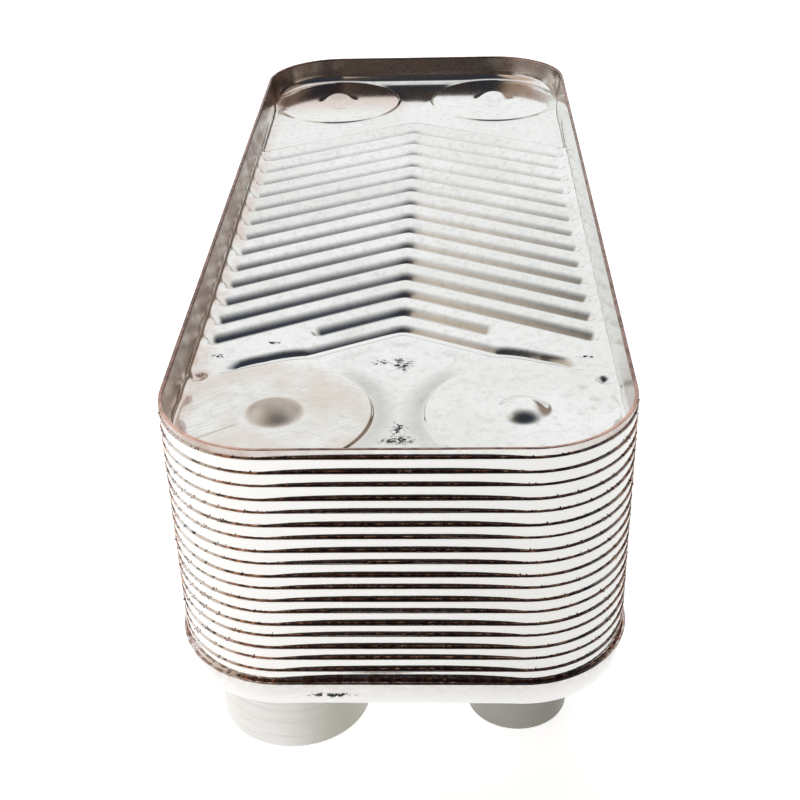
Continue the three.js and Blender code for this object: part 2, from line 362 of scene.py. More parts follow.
def bead_template():
    maker = bmesh.new()
    bmesh.ops.create_icosphere(maker, subdivisions=2, radius=1)
    points = np.array([vertex.co[:] for vertex in maker.verts])
    faces = [[vertex.index for vertex in face.verts] for face in maker.faces]
    maker.free()
    return points, faces


BEAD = bead_template()


def new_object(name, data):
    made = bpy.data.objects.new(name, data)
    bpy.context.scene.collection.objects.link(made)
    return made


def make_piece(name, mesh, material, slot, *nodes):
    """Puts a finished mesh in the scene as a piece that stands for its CAD nodes."""
    piece = new_object(name, mesh)
    mesh.materials.append(material)
    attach(piece, BODY)
    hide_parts(*nodes)


# --- Heights of the pressed floors, relative to the crests


def valley_distance(x, y, apex_y, end_x):
    """Distance from a chevron valley's centre line, which ends at |x| = end_x."""
    slope = CHEVRON_SLOPE * x / rounded_abs(x)
    across = np.abs(y - apex_y + CHEVRON_SLOPE * rounded_abs(x)) / np.hypot(1, slope)
    length = math.hypot(1, CHEVRON_SLOPE)
    past_x = np.abs(x) - end_x
    past_y = y - (apex_y - CHEVRON_SLOPE * math.hypot(end_x, CHEVRON_ROUNDING))
    beyond = np.maximum((past_x - CHEVRON_SLOPE * past_y) / length, 0)
    return np.where(beyond > 0, np.hypot(across, VALLEY_END_SHARPNESS * beyond), across)


def valley_depth(x, y, ends, deepest):
    """Depth of the straight valleys; ends gives each valley's end, from the +Y one on."""
    depth = np.zeros_like(x)
    for index, end_x in enumerate(ends):
        distance = valley_distance(x, y, CHEVRON_APEX_Y - CHEVRON_PITCH * index, end_x)
        depth = np.maximum(depth, deepest * read_profile(VALLEY_PROFILE, distance, VALLEY_HALF_WIDTH))
    return depth


def channel_height(x, y):
    height = -valley_depth(x, y, [LONG_VALLEY_END_X] * (LONG_VALLEYS + 1), PRESS_DEPTH)
    for port_y in (-PORT_Y, PORT_Y):
        reach = np.hypot(x - PORT_X, y - port_y)
        share = smoothstep(PORT_CUP_EDGE, PORT_CUP_FLOOR, reach)
        height = height * (1 - share) - PRESS_DEPTH * share
        flat = smoothstep(PORT_CUP_EDGE + 1, PORT_CUP_EDGE, np.hypot(x + PORT_X, y - port_y))
        height = height * (1 - flat)
    return height


# Grooves round the near discs: angles in degrees from +Y towards the outside, radii, half widths
CRESCENT = ((-10, 12, 42), (20.4, 18.4, 17.6), (3.25, 2.9, 2.0))
NOTCH = ((-50, -44, -38), (17.2, 17.2, 17.2), (1.6, 1.6, 1.6))


def arc_groove(x, y, side, path, deepest, fade_in):
    """Depth of a groove round a near disc that grows shallow towards its end."""
    angles, radii, half_widths = path
    out, up = side * x - PORT_X, y + PORT_Y
    angle = np.degrees(np.arctan2(out, up))
    held = np.clip(angle, angles[0], angles[-1])
    share = (held - angles[0]) / (angles[-1] - angles[0])
    radius = np.interp(held, angles, radii)
    half_width = np.interp(held, angles, half_widths)
    distance = np.hypot(np.hypot(out, up) - radius, np.radians(angle - held) * radius)
    fade = np.minimum(1, fade_in + share * 4) * np.minimum(1, (1 - share) * 3) ** 0.8
    return deepest * fade * read_profile(VALLEY_PROFILE, distance, half_width)


# Single dents beside the near discs: x, y, half width, depth
DENTS = [(-34.4, -65.0, 2.0, 0.95), (34.1, -67.2, 1.9, 1.0)]


def cover_height(x, y, deepest=COVER_PRESS_DEPTH):
    """Height of the cover's floor over its crests: valleys, sunk fields, discs and domes."""
    ends = [LONG_VALLEY_END_X] * LONG_VALLEYS + [SHORT_VALLEY_END_X, LAST_VALLEY_END_X]
    depth = valley_depth(x, y, ends, deepest)
    for side in (-1, 1):
        depth = np.maximum(depth, arc_groove(x, y, side, CRESCENT, deepest, 1))
    depth = np.maximum(depth, arc_groove(x, y, 1, NOTCH, 0.7, 0.4))
    for dent_x, dent_y, half_width, dent_depth in DENTS:
        depth = np.maximum(depth, dent_depth * bell(np.hypot(x - dent_x, y - dent_y), half_width))
    spine = y + CHEVRON_SLOPE * rounded_abs(x)
    far_field = smoothstep(FAR_FIELD_EDGE, FAR_FIELD_EDGE + 1.6, spine)
    last_crest = CHEVRON_APEX_Y - CHEVRON_PITCH * (LONG_VALLEYS + 1.5)
    between = smoothstep(MIDDLE_FIELD_HALF_WIDTH, MIDDLE_FIELD_HALF_WIDTH - 3.5, np.abs(x))
    between = between * smoothstep(last_crest - 0.3, last_crest - 3.2, spine)
    corners = smoothstep(CORNER_FIELD_Y, CORNER_FIELD_Y - 6, y)
    field = np.maximum(far_field, np.maximum(between, corners)) * FIELD_DROP
    reaches = [np.hypot(x - disc_x, y - disc_y) for disc_x, disc_y in DISCS]
    for reach in reaches:
        step = smoothstep(DISC_TOP, DISC_STEP_FOOT, reach)
        field = field * (0.72 * step + 0.28 * smoothstep(DISC_STEP_FOOT - 0.15, DISC_FOOT, reach))
        depth = depth * smoothstep(DISC_TOP, DISC_TOP + 0.8, reach)
    height = -np.maximum(field, depth)
    for reach in reaches:
        height += DOME_HEIGHT * read_profile(DOME_PROFILE, reach, DOME_RADIUS)
    return height


def cover_under_height(x, y):
    return cover_height(x, y, PRESS_DEPTH)


# --- Skirts


def skirt_offset(outline, seed, drop):
    """Offset of a plate's outer face at a depth below its rim. The sides bulge a little."""
    flare = FLARE * (0.52 + 0.6 * outline.middle + wave(outline.along, seed, 0.035, 2, 9))
    shown = np.minimum(drop, PLATE_PITCH)
    waver = SIDE_GAP + wave(outline.along, seed + 100, 0.012, 3, 40)
    return -flare * shown - FLARE * (drop - shown) - waver


def rim_height(outline, seed, rim_z):
    return rim_z - RIM_GAP + wave(outline.along, seed + 200, 0.018, 2, 24)


def add_tray(build, outline, seed, rim_z, floor_z, sheet, inset, height, film=1.0):
    """A pressed tray's skirt, rounded cut rim and fillets; film is the strength of the copper film
    on the rim. Returns the floor's lower and upper edge rings and their plan points."""
    wall = sheet * math.hypot(1, FLARE)
    rim = rim_height(outline, seed, rim_z)
    centre_z = floor_z + FLOOR_FILLET

    def outer_offset(z):
        return skirt_offset(outline, seed, rim_z - z) - inset

    centre_offset = outer_offset(centre_z) - wall - FLOOR_FILLET

    def fillet(turns, radius, lift_power):
        for angle in map(math.radians, turns):
            offset = centre_offset + radius * math.cos(angle)
            lift = height(*outline.flat(offset).T) * math.sin(angle) ** lift_power
            yield offset, centre_z - radius * math.sin(angle) + lift, 0

    def skirt(shares, inwards):
        for share in shares:
            z = centre_z + (rim_z - centre_z) * share
            yield outer_offset(z) - inwards, z, 0

    edge = min(0.12, sheet * 0.3)
    top_offset = outer_offset(rim_z)
    rings = build.rise(outline, [
        *fillet((90, 60, 30, 0), FLOOR_FILLET + sheet, 1),
        *skirt((0.35, 0.6, 0.8, 0.93), 0),
        (outer_offset(rim_z - edge), rim - edge, 0.6 * film),
        (top_offset - 0.3 * edge, rim - 0.3 * edge, film),
        (top_offset - edge, rim, film),
        (top_offset - wall + edge, rim, film),
        (top_offset - wall, rim - 0.5 * edge, film),
        (outer_offset(rim_z - 0.4) - wall, rim - 0.4, 0.5 * film),
        *skirt((0.7, 0.4, 0.15), wall),
        *fillet((0, 20, 40, 60, 78, 90), FLOOR_FILLET, 2),
    ])
    return rings[0], rings[-1], outline.flat(centre_offset)


def add_floor(build, foot_ring, foot, holes, hole_steps, inner, z, height, upwards):
    """One face of a tray's floor, from its foot ring inwards. Returns the holes' edge rings."""
    loops = [foot] + [circle(x, y, radius, hole_steps) for x, y, radius in holes]
    points, triangles = triangulate(loops, inner, holes)
    rest = points[len(foot):]
    lifted = np.column_stack([rest, z + height(rest[:, 0], rest[:, 1])])
    indices = np.concatenate([foot_ring, build.add(lifted)])
    build.triangles(indices, triangles, upwards)
    edges = []
    for index in range(len(holes)):
        start = len(foot) + index * hole_steps
        edges.append(indices[start:start + hole_steps])
    return edges


def add_floors(build, rings, feet, holes, hole_steps, inner, levels, height):
    """A floor's upper and lower face, given in that order, and the walls of its holes."""
    top, under = [
        add_floor(build, ring, foot, holes, hole_steps, inner, z, height, upwards)
        for ring, foot, z, upwards in zip(rings, feet, levels, (True, False))
    ]
    for high, low in zip(top, under):
        build.strip(high, low)


def clear_of(points, circles):
    """Leaves out points that lie between a circle's two radii: x, y, low, high."""
    for x, y, low, high in circles:
        reach = np.hypot(points[:, 0] - x, points[:, 1] - y)
        points = points[(reach < low) | (reach > high)]
    return points


# --- Pieces


def make_channel_plates(material):
    outline = Outline(corner_steps=16, straight_gap=4.0)
    holes = [(x, y, PORT_HOLE) for x, y in DISCS]
    inner = chevron_lattice(2.6, even_places(4), -4.2)
    inner = clear_of(inner, [(x, y, 0, PORT_HOLE + 0.8) for x, y, _ in holes])
    cups = []
    for y in (-PORT_Y, PORT_Y):
        inner = clear_of(inner, [(PORT_X, y, PORT_CUP_FLOOR - 0.7, PORT_CUP_EDGE + 0.7)])
        cups += [circle(PORT_X, y, radius, HOLE_STEPS) for radius in (PORT_CUP_FLOOR, PORT_CUP_EDGE)]
    cups = np.concatenate(cups)
    inner = np.concatenate([inner, cups[inside_outline(cups, -4.0) > 0]])
    for index, name in enumerate(CHANNEL_PLATES):
        build = Build()
        rim_z = RIM_Z[index]
        floor_z = RIM_Z[1] - RIM_ABOVE_CREST + (index - 1) * PLATE_PITCH
        lower, upper, foot = add_tray(
            build, outline, index, rim_z, floor_z, CHANNEL_SHEET, 0, channel_height,
            film=1 - 0.85 * outline.corner)
        levels = (floor_z, floor_z - CHANNEL_SHEET)
        add_floors(build, (upper, lower), (foot, foot), holes, HOLE_STEPS, inner, levels, channel_height)
        turned = index % 2 == 0
        make_piece(f"pressed_{name}", build.mesh(name, turned), material, "channel_plate_steel", name)


# Rows of points from a valley's middle to the crest, as shares of the half pitch
VALLEY_ROWS = (0, 0.05, 0.11, 0.2, 0.35, 0.5, 0.62, 0.73, 0.82, 0.91)
FINE_PLACES = sorted([row / 2 for row in VALLEY_ROWS] + [-row / 2 for row in VALLEY_ROWS[1:]] + [-0.5])

# Rings of points round the discs' steps, and round the near discs' grooves
STEP_RINGS = (15.0, 15.5, 15.62, 15.75, 15.9, 16.1, 16.35, 16.65, 17.0, 17.5, 18.0)
GROOVE_RINGS = (18.2, 18.4, 18.7, 19.1, 19.6, 20.1, 20.6)


def spine_of(points):
    """The chevrons' level lines: a point's Y where the line through it crosses x = 0."""
    return points[:, 1] + CHEVRON_SLOPE * rounded_abs(points[:, 0])


def cover_points(border):
    """Plan points for the cover's upper face: dense over the pressings, wide apart elsewhere."""
    fine = chevron_lattice(0.66, FINE_PLACES, border)
    spine = spine_of(fine)
    last_valley = CHEVRON_APEX_Y - CHEVRON_PITCH * (LONG_VALLEYS + 1)
    far_edge = CHEVRON_APEX_Y + CHEVRON_PITCH * 0.85
    fine = fine[(spine > last_valley - CHEVRON_PITCH * 0.8) & (spine < far_edge)]
    fine = clear_of(fine, [(x, y, 0, 20.6 if y < 0 else DISC_FOOT + 0.3) for x, y in DISCS])
    wide = chevron_lattice(1.3, even_places(7), border)
    spine = spine_of(wide)
    far_side = spine > CHEVRON_APEX_Y + CHEVRON_PITCH * 0.9
    wide = wide[far_side | (spine < last_valley - CHEVRON_PITCH * 0.85)]
    wide = clear_of(wide, [(x, y, 0, 20.8 if y < 0 else DISC_FOOT + 0.4) for x, y in DISCS])
    groups = []
    for x, y in DISCS:
        for radius in STEP_RINGS + (GROOVE_RINGS if y < 0 else ()):
            groups.append(circle(x, y, radius, 190))
        for radius in np.arange(DOME_RADIUS + 1, 14.5, 1.4):
            groups.append(circle(x, y, radius, 90))
        for step in range(1, 17):
            groups.append(circle(x, y, 0.34 * step, 10 + 5 * step))
        groups.append(np.array([(x, y)]))
    for x, y, half_width, _ in DENTS:
        fine = clear_of(fine, [(x, y, 0, half_width + 0.2)])
        wide = clear_of(wide, [(x, y, 0, half_width + 0.2)])
        groups.append(np.array([(x, y)]))
        for share in (0.12, 0.25, 0.4, 0.55, 0.7, 0.85, 1.0):
            groups.append(circle(x, y, half_width * share, 12 + round(30 * share)))
    rings = np.concatenate(groups)
    return np.concatenate([fine, wide, rings[inside_outline(rings, border) > 0.3]])


def make_cover_plate(material):
    outline = Outline(corner_steps=36, straight_gap=0.8)
    build = Build()
    floor_z = COVER_RIM_Z - COVER_RIM_ABOVE_CREST
    lower, upper, foot = add_tray(
        build, outline, COVER_SEED, COVER_RIM_Z, floor_z, COVER_SHEET, COVER_INSET, cover_height)
    border = -COVER_INSET - FLARE * COVER_RIM_ABOVE_CREST - COVER_SHEET - FLOOR_FILLET - 0.4
    add_floor(build, upper, foot, [], 0, cover_points(border), floor_z, cover_height, True)
    coarse = chevron_lattice(1.3, even_places(8), border)
    add_floor(build, lower, foot, [], 0, coarse, floor_z - COVER_SHEET, cover_under_height, False)
    make_piece("embossed_blind_cover_plate", build.mesh("cover"), material, "cover_plate_steel",
               "blind_cover_plate")


def make_port_plate(material):
    outline = Outline(corner_steps=24, straight_gap=2.5)
    build = Build()
    wall = PORT_PLATE_SHEET * math.hypot(1, FLARE)
    side = PORT_PLATE_OVERHANG - SIDE_GAP
    bend, fillet = PORT_PLATE_BEND, PORT_PLATE_FILLET
    bend_z = PORT_PLATE_BOTTOM_Z + bend
    floor_z = PORT_PLATE_BOTTOM_Z + PORT_PLATE_SHEET
    flare = FLARE * (0.9 + 0.15 * outline.middle)
    bend_offset = side - flare * (PORT_PLATE_RIM_Z - bend_z)
    inner_offset = side - wall - flare * (PORT_PLATE_RIM_Z - floor_z - fillet)
    seat = float(bend_offset.min()) - bend
    levels = []
    for turn in (90, 75, 60, 45, 30, 15, 0):
        angle = math.radians(turn)
        offset = bend_offset - bend * (1 - math.cos(angle))
        levels.append((offset, bend_z - bend * math.sin(angle), 0))
    rim = PORT_PLATE_RIM_Z - PORT_RIM_GAP + wave(outline.along, 77, 0.015, 2, 20)
    edge = 0.16
    top_offset = side + wave(outline.along, 78, 0.012, 2, 20)
    levels += [
        (top_offset - flare * edge, rim - edge, 0.3),
        (top_offset - 0.3 * edge, rim - 0.3 * edge, 0.6),
        (top_offset - edge, rim, 1),
        (top_offset - wall + edge, rim, 1),
        (top_offset - wall, rim - edge, 1),
    ]
    for turn in (0, 30, 60, 90):
        angle = math.radians(turn)
        offset = inner_offset - fillet * (1 - math.cos(angle))
        levels.append((offset, floor_z + fillet * (1 - math.sin(angle)), 0))
    rings = build.rise(outline, levels)

    def level(x, y):
        return np.zeros_like(x)

    holes = []
    for name in STUBS:
        x, y, radius = stub_place(name)
        holes.append((x, y, radius - STUB_SHOULDER))
    lattice = chevron_lattice(5.0, even_places(2), seat - 1.5)
    lattice = clear_of(lattice, [(x, y, 0, radius + 1.5) for x, y, radius in holes])
    feet = (outline.flat(inner_offset - fillet), outline.flat(bend_offset - bend))
    floors = (floor_z, PORT_PLATE_BOTTOM_Z)
    add_floors(build, (rings[-1], rings[0]), feet, holes, PORT_HOLE_STEPS, lattice, floors, level)
    make_piece("pressed_port_cover_plate", build.mesh("port_cover_plate"), material, "port_plate_steel",
               "port_cover_plate")


def turned_ring(build, x, y, radius, z):
    """One level of a turned shape, anticlockwise. radius and z are one value or one per point."""
    spread = circle(0, 0, 1, STUB_STEPS) * np.reshape(radius, (-1, 1)) + (x, y)
    return build.add(np.column_stack([spread, np.broadcast_to(z, STUB_STEPS)]))


def make_stubs(heating, water):
    for name in STUBS:
        x, y, outer = stub_place(name)
        kind = name.split("_")[0]
        bore = outer - STUB_WALL[kind]
        low, high = node_box(f"{name}_stub")
        shoulder = PORT_PLATE_BOTTOM_Z - 0.05
        profile = [(bore + 0.25, low.z), (outer - 0.35, low.z)]
        profile += [(outer - 0.12, low.z + 0.08), (outer - 0.03, low.z + 0.3)]
        z = low.z + 0.6
        while z < shoulder - 0.4:
            groove = TURNING_DEPTH * (0.5 - 0.5 * math.cos(2 * math.pi * z / TURNING_PITCH))
            profile.append((outer - 0.02 - groove, z))
            z += TURNING_PITCH / 6
        neck = outer - STUB_SHOULDER
        profile += [(outer - 0.02, shoulder), (neck, shoulder), (neck, high.z)]
        profile += [(bore, high.z), (bore, low.z + 0.7), (bore + 0.06, low.z + 0.25)]
        build = Build()
        rings = [turned_ring(build, x, y, radius, level) for radius, level in profile]
        build.chain(rings + rings[:1])
        material = heating if kind == "heating" else water
        make_piece(f"turned_{name}_stub", build.mesh(name), material, f"{kind}_stub_steel", f"{name}_stub")


def make_stub_fillets(material):
    """The copper round each stub: a concave ring of uneven width."""
    for index, name in enumerate(STUBS):
        x, y, outer = stub_place(name)
        low, high = node_box(f"{name}_braze_fillet")
        size = high.x - x - outer
        along = np.arange(STUB_STEPS) / STUB_STEPS
        reach = size * np.clip(0.72 + wave(along, 300 + index, 0.14, 2, 14), 0.45, 1)
        build = Build()
        rings = []
        for share in np.linspace(0, 1, 6):
            angle = share * math.pi / 2
            radius = outer - 0.02 + reach * (1 - math.sin(angle)) ** 1.2
            z = high.z - reach * (1 - math.cos(angle)) ** 1.2
            rings.append(turned_ring(build, x, y, radius, z))
        rings.append(turned_ring(build, x, y, outer - 0.06, high.z - reach))
        rings.append(turned_ring(build, x, y, outer - 0.06, high.z))
        build.chain((rings + rings[:1])[::-1])
        make_piece(f"flowed_{name}_braze_fillet", build.mesh(name), material, "braze_copper",
                   f"{name}_braze_fillet")


def make_seams(material):
    """The copper on each rim: an uneven concave fillet against the skirt above, with beads."""
    outline = Outline(corner_steps=56, straight_gap=0.5)
    at_corner = outline.corner
    for index, name in enumerate(SEAMS):
        if index < len(CHANNEL_PLATES):
            seed, rim_z, inset = index, RIM_Z[index], 0
        else:
            seed, rim_z, inset = COVER_SEED, COVER_RIM_Z, COVER_INSET
        if index == 0:
            ledge = PORT_PLATE_RIM_Z - PORT_RIM_GAP
        else:
            ledge = rim_height(outline, index - 1, RIM_Z[index - 1])
        scale = 2 if index == 0 else 1
        foot = skirt_offset(outline, seed, rim_z - ledge) - inset
        rough = wave(outline.along, 400 + index, 0.16, 60, 420, 14)
        width = scale * (SEAM_WIDTH - CORNER_LESS_WIDTH * at_corner) * (1 + rough)
        rough = wave(outline.along, 500 + index, 0.2, 50, 380, 14)
        tall = (SEAM_HEIGHT - CORNER_LESS_HEIGHT * at_corner) * (1 + rough)
        build = Build()
        section = [
            (foot - 0.08, ledge - 0.03),
            (foot + width, ledge - 0.03),
            (foot + width, ledge + 0.02),
            (foot + 0.45 * width, ledge + 0.18 * tall),
            (foot + 0.16 * width + 0.06 * tall, ledge + 0.5 * tall),
            (foot + FLARE * tall + 0.01, ledge + tall),
            (foot + FLARE * tall - 0.08, ledge + tall),
        ]
        build.rise(outline, [(*place, at_corner) for place in section], closed=True)
        add_beads(build, outline, foot, ledge, scale, 900 + index)
        make_piece(f"flowed_{name}", build.mesh(name), material, "braze_copper", name)


def add_beads(build, outline, foot, ledge, scale, seed):
    """Frozen droplets along a rim, larger and closer together round the corners."""
    source = random.Random(seed)
    foot = np.broadcast_to(foot, outline.along.shape)
    ledge = np.broadcast_to(ledge, outline.along.shape)
    for i, middle in enumerate(outline.middle):
        chance, growth = (0.16, 1.25) if middle < 0.25 else (0.09, 1)
        if source.random() > chance:
            continue
        size = source.uniform(*BEAD_SIZES) * growth
        offset = foot[i] + scale * source.uniform(*BEAD_REACH)
        x, y = outline.base[i] + outline.normal[i] * offset
        build.solid(BEAD, (x, y, ledge[i] + 0.2 * size), (size, size, 0.7 * size))


# --- Shader nodes


def add_node(tree, kind, inputs=None, **settings):
    made = tree.nodes.new("ShaderNode" + kind)
    for key, value in settings.items():
        setattr(made, key, value)
    for key, value in (inputs or {}).items():
        if isinstance(value, bpy.types.NodeSocket):
            tree.links.new(value, made.inputs[key])
        else:
            made.inputs[key].default_value = value
    return made


def calc(tree, operation, first, second=0.0, clamp=False):
    made = add_node(tree, "Math", {0: first, 1: second}, operation=operation, use_clamp=clamp)
    return made.outputs[0]


def remap(tree, value, low, high, to_low=0.0, to_high=1.0):
    made = add_node(tree, "MapRange", {
        "Value": value, "From Min": low, "From Max": high, "To Min": to_low, "To Max": to_high,
    }, interpolation_type="SMOOTHSTEP")
    return made.outputs[0]


def mix_colour(tree, share, first, second):
    made = add_node(tree, "Mix", {0: share}, data_type="RGBA")
    for socket, value in ((made.inputs[6], first), (made.inputs[7], second)):
        if isinstance(value, bpy.types.NodeSocket):
            tree.links.new(value, socket)
        else:
            socket.default_value = (*value, 1)
    return made.outputs[2]


def layered(tree, colour, *films):
    """A colour under films, the lowest first; each film is its strength and its colour."""
    for share, film in films:
        colour = mix_colour(tree, share, colour, film)
    return colour


def colour_ramp(tree, value, stops):
    made = add_node(tree, "ValToRGB", {0: value})
    elements = made.color_ramp.elements
    while len(elements) < len(stops):
        elements.new(1.0)
    for element, (position, colour) in zip(elements, stops):
        element.position = position
        element.color = (*colour, 1)
    return made.outputs[0]


def strongest(tree, *values):
    total = values[0]
    for value in values[1:]:
        total = calc(tree, "MAXIMUM", total, value)
    return total


def product(tree, *values):
    total = values[0]
    for value in values[1:]:
        total = calc(tree, "MULTIPLY", total, value, clamp=True)
    return total


def surface_value(tree, name):
    return add_node(tree, "NewGeometry").outputs[name]


def split_axes(tree, vector):
    return add_node(tree, "SeparateXYZ", {0: vector}).outputs


def rotated(tree, vector, degrees, centre=(0, 0, 0)):
    made = add_node(tree, "VectorRotate", {
        "Vector": vector, "Center": centre, "Angle": math.radians(degrees),
    }, rotation_type="Z_AXIS")
    return made.outputs[0]


def position_mm(tree, stretch=(1, 1, 1), turn=0.0):
    """The surface position in millimetres, turned about Z and stretched for streaky patterns."""
    place = surface_value(tree, "Position")
    scale = tuple(1 / MM * part for part in stretch)
    if turn:
        place = rotated(tree, place, turn)
    return add_node(tree, "Mapping", {"Vector": place, "Scale": scale}).outputs[0]


def axis_mm(tree, axis):
    return split_axes(tree, position_mm(tree))[axis]


def noise(tree, size, detail=3.0, rough=0.55, stretch=(1, 1, 1), turn=0.0, shift=0.0):
    """Noise from 0 to 1 with features of about size millimetres."""
    place = position_mm(tree, stretch, turn)
    made = add_node(tree, "TexNoise", {
        "Vector": place, "W": shift, "Scale": 1 / size, "Detail": detail, "Roughness": rough,
    }, noise_dimensions="4D")
    return made.outputs["Fac"]


def blob(tree, centre, halves, soft, axes=(0, 1)):
    """A soft-edged oval: 1 in its middle, 0 outside. axes picks the plane it lies in."""
    total = 0.0
    for axis, middle, half in zip(axes, centre, halves):
        share = calc(tree, "DIVIDE", calc(tree, "SUBTRACT", axis_mm(tree, axis), middle), half)
        total = calc(tree, "ADD", calc(tree, "MULTIPLY", share, share), total)
    return remap(tree, calc(tree, "SQRT", total), 1.0, 1 - soft)


def blobs(tree, spots, soft):
    return [blob(tree, centre, halves, soft) for centre, halves in spots]


def scratch(tree, start, end, half_width):
    """A straight scratch in plan that fades at both ends."""
    length = math.dist(start, end)
    turn = math.degrees(math.atan2(end[1] - start[1], end[0] - start[0]))
    middle = ((start[0] + end[0]) / 2, (start[1] + end[1]) / 2)
    place = split_axes(tree, rotated(tree, position_mm(tree), -turn, (*middle, 0)))
    along = calc(tree, "ABSOLUTE", calc(tree, "SUBTRACT", place[0], middle[0]))
    across = calc(tree, "ABSOLUTE", calc(tree, "SUBTRACT", place[1], middle[1]))
    return product(tree, remap(tree, along, length / 2, length / 3), remap(tree, across, half_width, 0))


def scuffs(tree, flecks, spots, gain, low, high):
    """Flecks inside soft spots, denser towards a spot's middle."""
    lifted = calc(tree, "ADD", flecks, calc(tree, "MULTIPLY", spots, gain))
    return product(tree, remap(tree, lifted, low, high), spots)


def rim_value(tree):
    return add_node(tree, "Attribute", attribute_name="rim").outputs["Fac"]


def new_material(name):
    material = bpy.data.materials.new(name)
    material.use_nodes = True
    return material, material.node_tree


def set_metal(material, colour, roughness, relief, depth):
    """Makes a material bare metal; depth is the height of its relief in millimetres."""
    tree = material.node_tree
    shader = tree.nodes["Principled BSDF"]
    shader.inputs["Metallic"].default_value = 1.0
    bump = add_node(tree, "Bump", {"Height": relief, "Distance": depth * MM, "Strength": 1.0})
    tree.links.new(colour, shader.inputs["Base Color"])
    tree.links.new(roughness, shader.inputs["Roughness"])
    tree.links.new(bump.outputs[0], shader.inputs["Normal"])
    return material


# --- Metals

STEEL = (0.84, 0.85, 0.84)
COVER_STEEL = (0.80, 0.81, 0.79)
PALE_STEEL = (0.88, 0.885, 0.875)
# Painted shade for the channel plates' +X side
RIGHT_SHADE_STEEL = (0.74, 0.75, 0.735)
SPECKLED_STEEL = (0.58, 0.59, 0.56)
SHADED_STEEL = (0.40, 0.41, 0.38)
COPPER_FILM = (0.60, 0.42, 0.34)
BROWN_FILM = (0.44, 0.34, 0.29)
TAN_FILM = (0.66, 0.58, 0.50)
STAIN = (0.42, 0.42, 0.36)
SCUFF = (0.02, 0.025, 0.022)
DARK_CUT = (0.16, 0.10, 0.085)
BARE_CUT = (0.72, 0.46, 0.38)
PORT_PLATE_CUT = (0.30, 0.16, 0.12)
COPPER_OXIDE = (0.05, 0.03, 0.025)
DARK_COPPER = (0.20, 0.09, 0.06)
BARE_COPPER = (0.62, 0.30, 0.19)
BRIGHT_COPPER = (0.85, 0.60, 0.46)
THIN_COPPER = (0.86, 0.76, 0.70)


def channel_steel():
    material, tree = new_material("bright_pressed_steel")
    cloud = noise(tree, 14)
    film = noise(tree, 1.6, detail=5, shift=3)
    # Painted shade: the channel plates grow darker towards +X
    shade_to_right = remap(tree, axis_mm(tree, 0), -10, 38, 0, 0.8)
    at_rim = product(tree, rim_value(tree), remap(tree, film, 0.42, 0.62, 0.1, 0.8))
    colour = layered(
        tree, STEEL, (cloud, PALE_STEEL), (shade_to_right, RIGHT_SHADE_STEEL), (at_rim, COPPER_FILM))
    rough = remap(tree, film, 0.35, 0.7, 0.05, 0.11)
    return set_metal(material, colour, rough, noise(tree, 3.5, detail=2), 0.01)


# Spots on the cover in plan: centre and half sizes
SCUFF_SPOTS = [
    ((0.2, -60.3), (4.0, 5.4)), ((-3.8, -59.6), (3.4, 2.0)),
    ((0.0, -84.2), (5.6, 2.8)), ((0.0, -81.2), (3.0, 4.0)),
    ((-31.6, -58.2), (3.0, 1.4)), ((-22.6, -53.5), (3.2, 1.1)), ((31.4, -59.5), (3.2, 1.2)),
]
STAIN_SPOTS = [
    ((30.2, -69.5), (1.3, 1.0)), ((31.8, -73.4), (1.6, 1.3)),
    ((31.3, -76.4), (0.8, 0.8)), ((0, -84.6), (3.8, 1.6)),
]
COPPER_SPOTS = [((-34.0, -64.5), (2.8, 2.6)), ((-35.5, -60), (1.3, 4.5))]
NEAR_LEFT_DISC = (-PORT_X, -PORT_Y)
FAR_LEFT_DISC = (-PORT_X, PORT_Y)


def wall_heat_film_and_shade(tree, cloud, above_crest):
    """Brown heat film on the cover's left and far walls, and on the right one near the front corner; it is
    partly painted shade, standing in for these walls' darker reflection.
    """
    x, y = axis_mm(tree, 0), axis_mm(tree, 1)
    patchy = remap(tree, cloud, 0.3, 0.7, 0.55, 0.95)
    wall = remap(tree, above_crest, 0.7, 2.2)
    left_or_back = strongest(tree, remap(tree, x, 4, -30), remap(tree, y, 80, 92))
    near_corner = product(tree, remap(tree, y, -58, -76), remap(tree, x, 20, 32, 0, 0.8))
    return product(tree, wall, patchy, strongest(tree, left_or_back, near_corner))


def floor_copper_film(tree, cloud):
    """Copper film on the cover's floor: grooves' left ends, far left disc, far right corner, spots."""
    x, y = axis_mm(tree, 0), axis_mm(tree, 1)
    groove_ends = product(tree, remap(tree, x, -32.2, -35.4), remap(tree, cloud, 0.35, 0.6), 0.75)
    far_disc = product(tree, blob(tree, FAR_LEFT_DISC, (18.5, 18.5), 0.15), remap(tree, y, 64, 80))
    corner = product(tree, blob(tree, (30, 94), (12, 9), 0.9), remap(tree, cloud, 0.3, 0.5), 0.7)
    return strongest(tree, groove_ends, far_disc, corner, *blobs(tree, COPPER_SPOTS, 0.9))


def disc_shade(tree, cloud):
    """Painted shade: a grey bloom in the hollow between the two near discs, close along their feet."""
    beside = []
    for side in (-1, 1):
        disc = blob(tree, (side * PORT_X, -PORT_Y), (21, 21), 0.2)
        inside = blob(tree, (side * PORT_X, -PORT_Y), (16.6, 16.6), 0.05)
        beside.append(product(tree, disc, calc(tree, "SUBTRACT", 1.0, inside)))
    middle = blob(tree, (0, -72), (13, 26), 0.5)
    return product(tree, strongest(tree, *beside), middle, remap(tree, cloud, 0.35, 0.6, 0.35, 0.75))


